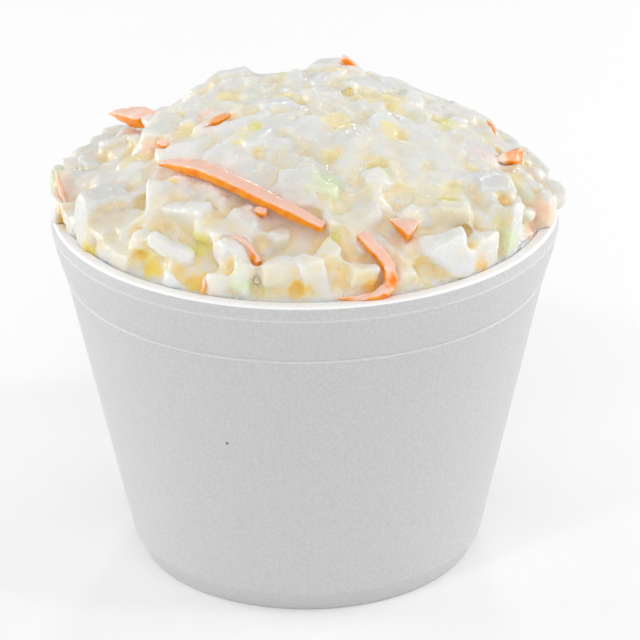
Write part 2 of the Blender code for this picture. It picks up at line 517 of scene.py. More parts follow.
def clear_of_cup(points):
    """Pushes points that lie in the cup's wall back inside it, or up onto its lip."""
    reach = np.hypot(points[:, 0], points[:, 1])
    inside = wall_inside(points[:, 2])
    lift = CUP_HEIGHT + LIP_GAP - points[:, 2]
    buried = (lift > 0) & (reach > inside)
    upward = buried & (lift < reach - inside) & (lift < LIP_CLIMB)
    inward = buried & ~upward
    kept = points.copy()
    kept[upward, 2] = CUP_HEIGHT + LIP_GAP
    scale = inside[inward] / reach[inward]
    kept[inward, 0] *= scale
    kept[inward, 1] *= scale
    return kept


def keep_clear(body):
    """Moves the points of a body that lie in the cup's wall out of it."""
    points = np.array([v.co for v in body.verts])
    for vert, place in zip(body.verts, clear_of_cup(points)):
        vert.co = place


print("food reaches", round(float(wall_inside(CUP_HEIGHT)) / MM, 2), "mm out at the lip")

# %% [markdown]
# ## One cut piece of cabbage
#
# A cabbage head cut both ways falls into small chunks: thick and stiff near the rib, thin and
# curved further out, with straight knife cuts at odd angles. Each piece here starts as a cube,
# loses corners to a few random cuts, and gets all its edges rounded. It is then sliced across,
# so that it has points enough to be bent and made a little uneven.

# %% cut, round and bend a piece
CUT_ROUNDING = 1.0 * MM
UNEVEN = 0.55 * MM
UNEVEN_SIZE = 4.5 * MM
ROUNDING_SHARE = 0.32  # of the thickness, at most
NOISE_SEED = 1
CUT_TILT = 0.6
CUT_DEPTHS = (0.5, 0.9)  # of the way from the middle to the side
LENGTH_SLICES = (-0.3, -0.1, 0.1, 0.3)
WIDTH_SLICES = (-0.17, 0.17)
BEND_LEVEL = 0.08
WARP = 0.3

noise.seed_set(NOISE_SEED)  # without a seed, noise_vector starts from the time of day


def knife_cut(body, place, direction, nearest=1e-6):
    """Takes away what lies beyond a plane and closes the cut."""
    geometry = body.verts[:] + body.edges[:] + body.faces[:]
    made = bmesh.ops.bisect_plane(
        body, geom=geometry, dist=nearest, plane_co=place, plane_no=direction, clear_outer=True
    )
    rim = [item for item in made["geom_cut"] if isinstance(item, bmesh.types.BMEdge)]
    if len(rim) > 2:
        bmesh.ops.contextual_create(body, geom=rim)


def slice_across(body, direction, places):
    """Adds points along these planes without changing the shape."""
    for place in places:
        geometry = body.verts[:] + body.edges[:] + body.faces[:]
        bmesh.ops.bisect_plane(
            body, geom=geometry, dist=1e-6, plane_co=direction * place, plane_no=direction
        )


def block(sides):
    """A cube scaled to these sides, with its middle at the origin."""
    body = bmesh.new()
    bmesh.ops.create_cube(body, size=1.0)
    bmesh.ops.scale(body, vec=sides, verts=body.verts)
    return body


def round_edges(body, rounding):
    """Rounds every edge in two steps."""
    bmesh.ops.bevel(
        body,
        geom=body.edges[:],
        offset=rounding,
        offset_type="OFFSET",
        segments=2,
        profile=0.5,
        affect="EDGES",
        clamp_overlap=True,
        material=-1,
    )


def cut_piece(chance, sides, bend, cuts):
    """One rounded, bent chunk of cabbage, lying flat with its middle at the origin."""
    length, width, thickness = sides
    body = block(sides)
    for _ in range(cuts):
        turn = chance.uniform(0, 2 * pi)
        direction = Vector((cos(turn), sin(turn), chance.uniform(-CUT_TILT, CUT_TILT)))
        reach = 0.5 * sqrt((length * cos(turn)) ** 2 + (width * sin(turn)) ** 2)
        knife_cut(body, direction.normalized() * reach * chance.uniform(*CUT_DEPTHS), direction)
    round_edges(body, min(CUT_ROUNDING, ROUNDING_SHARE * thickness))
    slice_across(body, Vector((1, 0, 0)), [share * length for share in LENGTH_SLICES])
    slice_across(body, Vector((0, 1, 0)), [share * width for share in WIDTH_SLICES])
    start = Vector([chance.uniform(0, 100) for _ in range(3)])
    for vert in body.verts:
        x, y = vert.co.x / length, vert.co.y / width
        vert.co.z += bend * length * (x * x - BEND_LEVEL) + WARP * bend * length * x * y
        vert.co += UNEVEN * noise.noise_vector(vert.co / UNEVEN_SIZE + start)
    return body


trial = cut_piece(Random(1), (9 * MM, 7 * MM, 2.4 * MM), 0.4, 3)
print("one piece has", len(trial.faces), "faces")
trial.free()

# %% [markdown]
# ## Kinds of cabbage
#
# Rib is thick and nearly white. Inner leaf is thinner, curved and pale yellow. Outer leaf is
# thin and pale green. All pieces of one food go into one bmesh, and every point keeps a
# colour, mixed from two shades of its piece, because leaf is never one even colour.

# %% kinds, shades, and a batch for each food
# Sides are ranges in millimetres, and bend is how far a piece bends for its length.
KINDS = {
    "cabbage_rib": {"sides": ((6.5, 11), (5, 8.5), (3.4, 5.6)), "bend": 0.08},
    "cabbage_leaf": {"sides": ((7, 12), (5, 9), (1.8, 3.2)), "bend": 0.28},
    "cabbage_green": {"sides": ((6, 11), (4, 7), (1.5, 2.4)), "bend": 0.32},
    "cabbage_crumb": {"sides": ((2, 4.5), (1.6, 3.2), (1.2, 2.4)), "bend": 0.2},
}
SHADES = {
    "cabbage_rib": ("#e3e4e1", "#e9e2d2", "#e2e4e4", "#ebdfbc", "#dfdfdb"),
    "cabbage_leaf": ("#ede0b6", "#ead594", "#ebe5d0", "#ebdca8"),
    "cabbage_green": ("#dfe5be", "#d8e1b0", "#e5e9ce"),
    "cabbage_crumb": ("#e3e3e0", "#e9e2ca", "#eadeae", "#e2e6c0"),
}
MIX = ("cabbage_rib",) * 6 + ("cabbage_leaf",) * 5 + ("cabbage_green",)
SHADE_SIZE = 5 * MM
SHADE_SWING = 0.7


class Batch:
    """Pieces of one food, collected in one bmesh with a colour for every point."""

    def __init__(self):
        self.body = bmesh.new()
        self.colours = []

    def add(self, piece, colours):
        """Takes a piece in and frees its own bmesh."""
        self.colours += colours
        scratch = bpy.data.meshes.new("scratch")
        piece.to_mesh(scratch)
        piece.free()
        self.body.from_mesh(scratch)
        bpy.data.meshes.remove(scratch)


def two_shades(piece, shades):
    """A colour for every point, which goes to and fro between two shades."""
    near, far = (np.array(linear(shade)) for shade in shades)
    shares = [noise.noise(v.co / SHADE_SIZE) * SHADE_SWING + 0.5 for v in piece.verts]
    return [near + (far - near) * share for share in shares]


cabbage = Batch()
print("kinds:", ", ".join(KINDS))

# %% [markdown]
# ## Grated carrot
#
# A coarse grater drags out flat ribbons with tapered ends. They are what the eye finds first,
# so each one is led along a given path of a few places on the heap, from tip to tip.

# %% paths of the ribbons
# Each ribbon: width, thickness, twist in degrees, how much each end tapers and over what share,
# the share that dressing covers, and its path as x, y and rise over the heap.
RIBBONS = (
    (
        3.2, 2.3, -12, (0.96, 0.3), 0.28, 0.0,
        (
            (-30.4, -15.2, 0.9), (-25.2, -19.2, 1.0), (-20, -23.2, 1.1),
            (-12.9, -29.5, 1.3), (-4.8, -35.2, 1.3), (3.8, -39.4, 0.8),
        ),
    ),
    (
        4.4, 3.4, 24, (0.95, 0.9), 0.6, 0.0,
        ((-41.4, 18.2, 6.9), (-38.4, 15, 5.8), (-34.9, 12, 3.5), (-31.9, 9, 1.8), (-28.8, 6, 0.8)),
    ),
    (1.9, 1.3, 10, (0.6, 0.5), 0.4, 0.0, ((-30, -7.4, 0.8), (-28, -10.2, 0.7))),
    (1.8, 1.3, 10, (0.8, 0.6), 0.5, 0.2, ((-20.4, -6.2, 0.1), (-17.8, -6.0, 0.5), (-15, -5.4, 0.6))),
    (
        2.0, 1.5, 30, (0.8, 0.1), 0.9, 0.0,
        ((-18, -40.6, 1.3), (-14.8, -40.9, 2.0), (-12.2, -42, 1.9), (-10.3, -44, 1.4), (-9, -45.6, 0.9)),
    ),
    (
        1.2, 0.9, 0, (0.8, 0.6), 0.4, 0.0,
        ((-51.7, -3, 6.6), (-50.9, -5, 4.3), (-50.1, -8, 2.3), (-49.3, -11, 1.4)),
    ),
    (1.2, 0.8, 0, (0.4, 0.6), 0.4, 0.0, ((-19.6, -45, 0.8), (-20.4, -47, 0.4))),
    (
        2.6, 2.0, -8, (0.2, 0.85), 0.4, 0.0,
        (
            (11.2, -40.4, 1.4), (13.4, -42.6, 1.5), (15.6, -44.2, 1.5), (16.8, -45.8, 1.4),
            (16.6, -47.2, 1.2), (15.0, -48.3, 0.9), (11.8, -49, 0.3), (6.4, -49.3, -0.4),
        ),
    ),
    (4.3, 2.4, 0, (0.97, 0.0), 1.0, 0.0, ((16.8, -36, 1.0), (19.4, -37, 1.2), (21.8, -37.9, 1.4))),
    (
        3.3, 2.0, 34, (0.8, 0.1), 0.8, 0.3,
        ((39.6, -5.0, 0.0), (41.4, -3.6, 0.8), (43.2, -1.8, 1.7), (44.8, 0.6, 2.9)),
    ),
    (1.0, 0.8, 0, (0.6, 0.6), 0.5, 0.3, ((37.8, 9.6, 3.0), (39.2, 8.2, 2.6), (39.9, 6.4, 1.6))),
    (2.2, 1.6, 10, (0.1, 0.7), 0.5, 0.0, ((8, 22, 1.9), (9.7, 22, 0.7), (12.1, 22, -0.5))),
    (2.0, 1.4, 0, (0.4, 0.4), 0.4, 0.0, ((-10.2, -34.2, 0.2), (-7.6, -35.4, 0.2))),
)
print(len(RIBBONS), "ribbons")

# %% [markdown]
# A ribbon starts as a rounded block. It is sliced across many times, so that it has points
# enough, and each point is then moved to its share of a smooth curve through the path. The
# block turns about the curve as it goes and gets thinner toward both tips.

# %% lead a ribbon along its path
SLICE = 0.6 * MM
RIBBON_ROUNDING = 0.42 * MM
RIBBON_WIDTH_SLICES = (-0.18, 0.0, 0.18)
RIBBON_HEIGHT_SLICES = (-0.1, 0.15)
LOOK_AHEAD = 0.02  # of the path, to find its direction
TAPER_POWER = 1.5
START_TURN = 0.4  # of the twist
TURN_GROWS = 1.2
SIZE_VARIES = 0.12
SIZE_WAVES = 6
GRATED = 0.25 * MM
GRATED_SIZE = 1.3 * MM


def along(path, share):
    """A place on the smooth curve through these places, from 0 at one end to 1 at the other."""
    spans = len(path) - 1
    span = min(spans - 1, int(share * spans))
    t = share * spans - span
    before = path[span - 1] if span else 2 * path[0] - path[1]
    after = path[span + 2] if span + 2 <= spans else 2 * path[-1] - path[-2]
    start, end = path[span], path[span + 1]
    bend = 2 * before - 5 * start + 4 * end - after
    swing = 3 * start - before - 3 * end + after
    return 0.5 * (2 * start + (end - before) * t + bend * t**2 + swing * t**3)


def ribbon(width, thickness, twist, tapers, reach, places):
    """A ribbon of carrot along these places."""
    path = [Vector((x * MM, y * MM, heap_top(x * MM, y * MM) + up * MM)) for x, y, up in places]
    length = sum((b - a).length for a, b in zip(path, path[1:]))
    body = block((length, width * MM, thickness * MM))
    round_edges(body, RIBBON_ROUNDING)
    count = max(3, round(length / SLICE))
    slice_across(body, Vector((1, 0, 0)), [length * (i / count - 0.5) for i in range(1, count)])
    slice_across(body, Vector((0, 1, 0)), [width * MM * i for i in RIBBON_WIDTH_SLICES])
    slice_across(body, Vector((0, 0, 1)), [thickness * MM * i for i in RIBBON_HEIGHT_SLICES])
    for vert in body.verts:
        share = vert.co.x / length + 0.5
        middle = along(path, min(1, max(0, share)))
        ahead = along(path, min(1, share + LOOK_AHEAD)) - along(path, max(0, share - LOOK_AHEAD))
        out = heap_outward(middle.x, middle.y)
        turn = radians(twist) * (START_TURN + TURN_GROWS * share)
        out.rotate(Quaternion(ahead.normalized(), turn))
        across = out.cross(ahead).normalized()
        up = ahead.cross(across).normalized()
        start_fall = tapers[0] * max(0, 1 - share / reach) ** TAPER_POWER
        end_fall = tapers[1] * max(0, 1 - (1 - share) / reach) ** TAPER_POWER
        size = (1 - start_fall) * (1 - end_fall)
        size *= 1 + SIZE_VARIES * noise.noise(Vector((share * SIZE_WAVES, width * 10, 0)))
        vert.co = middle + (across * vert.co.y + up * vert.co.z) * size
        vert.co += GRATED * noise.noise_vector(vert.co / GRATED_SIZE)
    return body


print("a slice every", round(SLICE / MM, 1), "mm")

# %% [markdown]
# The upper face of a ribbon picks up a film of dressing, which turns it pink in patches, and its
# sides stay orange. Three of the ribbons lie partly under the dressing and are cream there. The
# colours are kept in the points, so one finish does for all the ribbons.

# %% colours of carrot
CARROT_ORANGE = "#ffa41c"
CARROT_DEEP = "#ff8a00"
CARROT_PINK = "#ffccb8"
CARROT_CREAM = "#fbe2d6"
TONE_SIZE = 1.5 * MM
MILKY_SIZE = 2.2 * MM
MILKY_SHARE = 0.7
FINE_PATCH = 1.4 * MM
BROAD_PATCH = 4 * MM
FILM_TURNS = (0.1, 0.62)  # how far up a face looks where the film starts, and where it is full
COVERED_FILM = 0.35


def smooth_share(value, low, high):
    """0 below low, 1 above high, and a soft step between."""
    share = min(1.0, max(0.0, (value - low) / (high - low)))
    return share * share * (3 - 2 * share)


def carrot_colours(piece, path, covered):
    """Film on top in uneven patches, thicker over the covered share, and bare orange sides."""
    piece.normal_update()
    orange, deep, pink, cream = (
        np.array(linear(c)) for c in (CARROT_ORANGE, CARROT_DEEP, CARROT_PINK, CARROT_CREAM)
    )
    start, end = (Vector((x * MM, y * MM, 0)) for x, y, _ in (path[0], path[-1]))
    run = end - start
    colours = []
    for vert in piece.verts:
        tone = orange + (deep - orange) * smooth_share(noise.noise(vert.co / TONE_SIZE), -0.4, 0.4)
        patchy = noise.noise(vert.co / FINE_PATCH) * 0.28 + noise.noise(vert.co / BROAD_PATCH) * 0.2
        film = smooth_share(vert.normal.z + patchy, *FILM_TURNS)
        milky = smooth_share(noise.noise(vert.co / MILKY_SIZE + Vector((7, 0, 0))), 0.0, 0.6)
        hidden = 0.0
        if covered:
            share = (vert.co - start).xy.dot(run.xy) / run.xy.length_squared
            hidden = 1 - smooth_share(share + patchy * 0.3, covered - 0.12, covered + 0.08)
            film *= COVERED_FILM
        tone = tone + (pink + (cream - pink) * milky * MILKY_SHARE - tone) * film
        colours.append(tone + (cream - tone) * hidden)
    return colours


carrots = Batch()
for *facts, covered, path in RIBBONS:
    piece = ribbon(*facts, path)
    carrots.add(piece, carrot_colours(piece, path, covered))
carrot_tree = BVHTree.FromBMesh(carrots.body)
print(len(RIBBONS), "ribbons of carrot,", len(carrots.body.faces), "faces")

# %% [markdown]
# ## Chunks that stand out
#
# Most of a heap is chance, but a few big chunks catch the eye: a square block at the left
# shoulder with a wedge beside it, a white arch above a yellow hollow, a small cube at the lip,
# and a clump of pale chunks that hangs over the right front. These are placed one by one.

# %% chunks placed one by one
# Each chunk: its kind, the x and y of its middle, its rise over the heap and its sides in
# millimetres, its turn, tip toward the front and roll in degrees, and how many cuts it gets.
CHUNKS = (
    ("cabbage_rib", (-41, -20), 0.4, (11, 6, 7), 14, 12, -4, 0),
    ("cabbage_rib", (-28.5, -28), 0.3, (6.8, 3.4, 10), 6, -14, 8, 2),
    ("cabbage_rib", (-23, -33), 0.3, (10, 4.4, 5.5), -32, 12, -12, 1),
    ("cabbage_leaf", (-18.5, -37.5), 0.2, (6, 4.5, 4), 20, 14, -6, 2),
    ("cabbage_rib", (-33, -34), 1.0, (5.5, 3, 3.6), 24, 10, -14, 1),
    ("cabbage_rib", (-26.5, -39), 1.5, (10.5, 3, 3.4), -22, 10, 22, 1),
    ("cabbage_rib", (-15.5, -42), 0.9, (9.5, 5.5, 5.5), -6, 16, 4, 2),
    ("cabbage_rib", (-17.4, -46.4), 0.7, (4.4, 3.4, 4.4), 8, 8, -4, 0),
    ("cabbage_green", (-12.4, -46.6), 0.9, (3, 3, 6), -10, -6, 6, 1),
    ("cabbage_leaf", (-5.4, -47), 0.7, (6.4, 4.2, 5.5), 10, 18, 4, 2),
    ("cabbage_rib", (-26.5, -41.8), -1.6, (3.6, 3, 4), 10, 8, 4, 1),
    ("cabbage_rib", (-4.5, -38.6), -2.0, (5.5, 4.5, 3.2), 30, 10, 4, 3),
    ("cabbage_green", (4.5, -30.5), 0.7, (8.4, 5, 4), -28, 22, 6, 2),
    ("cabbage_rib", (1.5, -47.2), 0.4, (5, 4, 7.5), 14, 10, -10, 1),
    ("cabbage_leaf", (5, -43), 0.1, (5, 6, 4), -16, 16, 4, 2),
    ("cabbage_leaf", (11.2, -46.2), 0.2, (5.5, 3.6, 4), 24, 10, 6, 2),
    ("cabbage_rib", (37.5, -20), 0.3, (9, 6.5, 6), 22, 12, 6, 2),
    ("cabbage_rib", (42, -26), 0.2, (5, 4, 12), -30, -14, 2, 1),
    ("cabbage_rib", (27.4, -38.6), 0.9, (10, 6.5, 7), 20, 16, -6, 2),
    ("cabbage_rib", (31.6, -38.8), 0.8, (5.5, 5, 5.5), 28, 8, 12, 1),
    ("cabbage_rib", (36.6, -33.5), 0.3, (7, 5.5, 6.5), 34, 12, 6, 1),
    ("cabbage_leaf", (30.2, -29.8), 0.4, (6, 5, 4), 10, 18, -8, 2),
    ("cabbage_rib", (49.8, -5), -0.7, (9.5, 7, 4.4), 14, 4, 12, 1),
    ("cabbage_rib", (15, -27), 0.3, (6, 5, 4.4), 20, 12, -6, 2),
    ("cabbage_green", (-51.3, 0.5), 2.0, (2.8, 6.5, 6), 4, 0, 0, 0),
    ("cabbage_rib", (-44, 5), -2.2, (7, 6, 4.6), 60, 0, 10, 2),
    ("cabbage_rib", (-29.5, 5.0), -0.9, (8, 5, 4), 12, 6, -6, 2),
)


def off_chunks(x, y):
    """How far a place lies from the middle of the nearest listed chunk."""
    return min(hypot(x - chunk[1][0] * MM, y - chunk[1][1] * MM) for chunk in CHUNKS)


def placed(x, y, rise, turn, tip, roll):
    """The matrix that puts a chunk over this place of the heap."""
    place = Vector((x, y, heap_top(x, y) + rise))
    tipped = Quaternion((1, 0, 0), radians(tip)) @ Quaternion((0, 1, 0), radians(roll))
    spun = Quaternion((0, 0, 1), radians(turn)) @ tipped
    return Matrix.Translation(place) @ spun.to_matrix().to_4x4()


CHUNK_BEND = 0.03
chance = Random(5)
for kind, (x, y), rise, sides, turn, tip, roll, cuts in CHUNKS:
    piece = cut_piece(chance, [side * MM for side in sides], CHUNK_BEND, cuts)
    piece.transform(placed(x * MM, y * MM, rise * MM, turn, tip, roll))
    cabbage.add(piece, two_shades(piece, chance.sample(SHADES[kind], 2)))
print(len(CHUNKS), "chunks placed by hand")

# %% [markdown]
# ## Filling the heap
#
# The rest of the places come from a sunflower spiral, which spreads points evenly over a disc,
# and each is then shifted a little. A deep layer fills the gaps, a main layer makes the surface,
# a few pieces stand proud, two rings follow the lip, and crumbs lie among them. Pieces that
# would land on a listed chunk are left out, and those under a ribbon lie deeper.

# %% scatter the layers
# Depth is in millimetres, tilt in degrees, and reach is a share of the way out.
LAYERS = (
    {"count": 190, "depth": 4.6, "tilt": 45, "reach": (0.0, 0.93)},
    {"count": 270, "depth": 2.0, "tilt": 24, "reach": (0.0, 0.95)},
    {"count": 40, "depth": 1.0, "tilt": 40, "reach": (0.0, 0.90)},
    {"count": 50, "depth": 1.2, "tilt": 45, "reach": (0.925, 0.965)},
    {"count": 44, "depth": 1.0, "tilt": 30, "reach": (0.87, 0.93)},
    {"count": 150, "depth": 1.1, "tilt": 40, "reach": (0.0, 0.96), "mix": ("cabbage_crumb",)},
)
GOLDEN_TURN = pi * (3 - sqrt(5))
TURN_VARIES = 0.08
PLACE_VARIES = 0.9 * MM
DEPTH_VARIES = 0.7 * MM
MOST_TILT = 80
CUTS = (1, 4)
CLEARING = 4.8 * MM
SHALLOW = 4  # layers nearer than this to the surface keep clear of the chunks
RIBBON_BED = 2.3 * MM


def laid(outward, place, turn, tilt, tilt_turn):
    """The matrix that lays a flat piece on the heap, turned, and tilted up from its surface."""
    flat = outward.to_track_quat("Z", "Y")
    about = Vector((cos(tilt_turn), sin(tilt_turn), 0))
    turned_piece = flat @ Quaternion(about, tilt) @ Quaternion((0, 0, 1), turn)
    return Matrix.Translation(place) @ turned_piece.to_matrix().to_4x4()


def scatter(layer, seed):
    """Cuts the pieces of one layer and lays them along the spiral."""
    chance = Random(seed)
    low, high = layer["reach"]
    for i in range(layer["count"]):
        kind = chance.choice(layer.get("mix", MIX))
        facts = KINDS[kind]
        share = (i + 0.5) / layer["count"]
        turn = i * GOLDEN_TURN + chance.uniform(-TURN_VARIES, TURN_VARIES)
        out = heap_reach(turn) * sqrt(low**2 + (high**2 - low**2) * share)
        x = out * cos(turn) + chance.gauss(0, PLACE_VARIES)
        y = out * sin(turn) + chance.gauss(0, PLACE_VARIES)
        outward = heap_outward(x, y)
        depth = layer["depth"] * MM + chance.gauss(0, DEPTH_VARIES)
        place = Vector((x, y, heap_top(x, y)))
        beside = carrot_tree.find_nearest(place, RIBBON_BED)[3]
        if beside is not None:
            depth += RIBBON_BED - beside
        place -= outward * depth
        tilt = radians(min(MOST_TILT, abs(chance.gauss(0, layer["tilt"]))))
        matrix = laid(outward, place, chance.uniform(0, 2 * pi), tilt, chance.uniform(0, 2 * pi))
        sides = [chance.uniform(*side) * MM for side in facts["sides"]]
        bend = chance.gauss(0, facts["bend"])
        piece = cut_piece(chance, sides, bend, chance.randint(*CUTS))
        shades = chance.sample(SHADES[kind], 2)
        if off_chunks(x, y) < CLEARING and layer["depth"] < SHALLOW:
            piece.free()
            continue
        piece.transform(matrix)
        cabbage.add(piece, two_shades(piece, shades))


for number, layer in enumerate(LAYERS):
    scatter(layer, seed=11 + number)
print("the cabbage has", len(cabbage.body.faces), "faces")

# %% [markdown]
# ## How wet food takes the light
#
# Mayonnaise dressing is an emulsion of oil in water: nearly white, wet and a little
# translucent, so light seeps sideways through it and the shade between lumps stays warm and
# bright. It has a wet clear coat over a softer base. It also holds tiny air bubbles and
# creases, the edges of its film stand up in fine winding lines, and a few dots of seasoning
# lie in it. Noise and a Voronoi pattern give all of these as relief and colour, because they
# are too fine for the mesh. The winding lines are painted whiter too: thicker cream, and a
# painted highlight of glints along the film's edges.

# %% film edges and seasoning
EDGE_SIZE = 3.6 * MM
EDGE_WIDTH = 0.016
PATCH_SIZE = 8 * MM
PATCH_RANGE = (0.46, 0.58)
DOT_SPACING = 3.2 * MM
DOT_RADIUS = 0.26 * MM
DOT_CORE = 0.3  # of its radius: inside that a dot has its full colour
DOT_SHARE = 0.3


def film_edges(tree, place):
    """Thin winding lines where the edge of a film of dressing stands up, in some places only: relief,
    and a painted highlight.
    """
    field = add_node(tree, "ShaderNodeTexNoise", Vector=place, Scale=1 / EDGE_SIZE, Detail=0.5)
    away = worked_out(tree, "SUBTRACT", field.outputs["Fac"], 0.5)
    apart = worked_out(tree, "ABSOLUTE", away)
    line = step_between(tree, apart, EDGE_WIDTH, 0.0, "SMOOTHSTEP")
    patches = add_node(tree, "ShaderNodeTexNoise", Vector=place, Scale=1 / PATCH_SIZE, Detail=0.0)
    some = step_between(tree, patches.outputs["Fac"], *PATCH_RANGE)
    return worked_out(tree, "MULTIPLY", line, some)


def seasoning(tree, place):
    """Sparse dots: one in a few cells of a Voronoi pattern."""
    cells = add_node(tree, "ShaderNodeTexVoronoi", Vector=place, Scale=1 / DOT_SPACING)
    radius = DOT_RADIUS / DOT_SPACING
    dot = step_between(tree, cells.outputs["Distance"], radius, DOT_CORE * radius)
    pick = add_node(tree, "ShaderNodeSeparateColor", Color=cells.outputs["Color"])
    few = worked_out(tree, "GREATER_THAN", pick.outputs["Red"], 1 - DOT_SHARE)
    return worked_out(tree, "MULTIPLY", dot, few)


print("about one dot in", round(1 / DOT_SHARE), "cells of", round(DOT_SPACING / MM, 1), "mm")

# %% [markdown]
# Carrot gets the same finish as the dressing, but light goes less deep into it, its relief is
# finer, and it has no film of its own: the film on it is in the colours of its points.

# %% finishes for wet food
LIGHT_WITHIN = 0.8
RED_GREEN_BLUE_REACH = (1.0, 0.9, 0.6)
WET_IOR = 1.38
COAT_WEIGHT = 0.45
COAT_ROUGHNESS = 0.1
COAT_IOR = 1.45
FINE_SIZE = 0.6 * MM
FINE_RELIEF = 0.34
EDGE_RELIEF = 0.5
# the film's edge lines are painted whiter: thicker cream and a painted highlight
EDGE_PAINTED_GLINT = 0.5
DOT_SHADE = "#c8924a"


def wet_food(name, roughness, depth, ripple, ripple_size, film=False):
    """A wet finish with the colours of its points. depth is how far light goes into it."""
    material, tree, shader = new_finish(
        name,
        Roughness=roughness,
        IOR=WET_IOR,
        Subsurface_Weight=LIGHT_WITHIN,
        Subsurface_Radius=RED_GREEN_BLUE_REACH,
        Subsurface_Scale=depth,
        Coat_Weight=COAT_WEIGHT,
        Coat_Roughness=COAT_ROUGHNESS,
        Coat_IOR=COAT_IOR,
    )
    colour = add_node(tree, "ShaderNodeAttribute", {"attribute_name": "piece_colour"})
    colour = colour.outputs["Color"]
    place = add_node(tree, "ShaderNodeTexCoord").outputs["Object"]
    waves = add_node(tree, "ShaderNodeTexNoise", Vector=place, Scale=1 / ripple_size, Detail=1.5)
    fine = add_node(tree, "ShaderNodeTexNoise", Vector=place, Scale=1 / FINE_SIZE, Detail=1.0)
    height = worked_out(tree, "MULTIPLY_ADD", fine.outputs["Fac"], FINE_RELIEF, waves.outputs["Fac"])
    if film:
        edges = film_edges(tree, place)
        height = worked_out(tree, "MULTIPLY_ADD", edges, EDGE_RELIEF, height)
        # painted highlight: the edge lines are mixed toward white
        painted_glint = worked_out(tree, "MULTIPLY", edges, EDGE_PAINTED_GLINT)
        colour = mixed(tree, painted_glint, colour, linear("#ffffff"))
        colour = mixed(tree, seasoning(tree, place), colour, linear(DOT_SHADE))
    bump = add_node(tree, "ShaderNodeBump", Strength=1.0, Distance=ripple, Height=height)
    plug(tree, shader.inputs["Normal"], bump.outputs[0])
    plug(tree, shader.inputs["Coat Normal"], bump.outputs[0])
    plug(tree, shader.inputs["Base Color"], colour)
    return material


dressing_finish = wet_food("mayonnaise_dressing", 0.4, 4.5 * MM, 0.3 * MM, 1.8 * MM, film=True)
carrot_finish = wet_food("grated_carrot", 0.3, 0.8 * MM, 0.12 * MM, 0.9 * MM)
print("wet finishes:", dressing_finish.name, "and", carrot_finish.name)

# %% [markdown]
# The ribbons of carrot become a piece now. The cabbage waits, because it goes into the coat.

# %% the carrot ribbons
RIBBON_CREASE = 50


def set_colours(data, colours):
    """Keeps a colour for every point of a mesh, where the wet finish reads it."""
    layer = data.color_attributes.new("piece_colour", "FLOAT_COLOR", "POINT")
    layer.data.foreach_set("color", np.asarray(colours, np.float32).ravel())


keep_clear(carrots.body)
carrot = add_piece("carrot_ribbons", carrots.body, carrot_finish, RIBBON_CREASE)
set_colours(carrot.data, carrots.colours)
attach(carrot, "root")

# %% [markdown]
# ## The coat of dressing
#
# Dressing clings to every piece, fills the narrow gaps between them and thins out over their
# corners. Its shape starts from the pieces and from a core under them, a lower heap that
# meets the wall all round. A disc of even triangles makes that core.

# %% core under the pieces
CORE_SINK = 3.8 * MM
CORE_LIP = 0.15 * MM
CORE_RINGS = 30
CORE_RIM = 0.98  # of the way out: from there on the core lies at the lip
CORE_LOOK_IN = 0.99
CORE_RELIEF = 0.8 * MM
CORE_RELIEF_SIZE = 3 * MM
CORE_FLOOR = 64.0 * MM


def make_core():
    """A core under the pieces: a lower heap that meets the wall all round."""
    body = bmesh.new()
    bmesh.ops.create_circle(body, cap_ends=True, cap_tris=True, segments=6, radius=CORE_RINGS)
    bmesh.ops.subdivide_edges(body, edges=body.edges, cuts=CORE_RINGS - 1, use_grid_fill=True)
    for vert in body.verts:
        turn = atan2(vert.co.y, vert.co.x)
        corner = (turn - radians(90)) % radians(60) - radians(30)
        share = vert.co.length * cos(corner) / cos(radians(30)) / CORE_RINGS
        reach = (LIP_INSIDE - LIP_GAP) * share
        x, y = reach * cos(turn), reach * sin(turn)
        height = heap_top(CORE_LOOK_IN * x, CORE_LOOK_IN * y) - CORE_SINK
        height += CORE_RELIEF * noise.noise(Vector((x, y, 0)) / CORE_RELIEF_SIZE)
        if share > CORE_RIM:
            height = CUP_HEIGHT - CORE_LIP
        vert.co = Vector((x, y, height))
    edges = [edge for edge in body.edges if edge.is_boundary]
    made = bmesh.ops.extrude_edge_only(body, edges=edges)["geom"]
    for item in made:
        if isinstance(item, bmesh.types.BMVert):
            item.co.z = CORE_FLOOR
    low = [item for item in made if isinstance(item, bmesh.types.BMEdge)]
    bmesh.ops.contextual_create(body, geom=low)
    bmesh.ops.recalc_face_normals(body, faces=body.faces)
    return body


core = make_core()
print("the core has", len(core.verts), "points")

# %% [markdown]
# The core and all the pieces are fused into one skin of small even cells. The skin is grown and
# then shrunk by the same amount. Convex corners come back where they were, but narrow gaps stay
# filled, just as a thick sauce fills them. A boolean union can't cope with so many crossing
# solids, so a voxel remesh does it. What lies deep in the cup is cut off, and so are the
# pockets that the fusing leaves inside.

# %% fuse the core and the pieces
VOXEL = 0.52 * MM
FILLET = 0.8 * MM
COAT_CUT = 71.0 * MM


def add_modifier(obj, kind, **settings):
    """Adds a modifier of this kind with these properties."""
    modifier = obj.modifiers.new(kind.lower(), kind)
    for name, value in settings.items():
        setattr(modifier, name, value)


def evaluated(obj):
    """A new mesh of the object with its modifiers applied."""
    graph = bpy.context.evaluated_depsgraph_get()
    return bpy.data.meshes.new_from_object(obj.evaluated_get(graph))


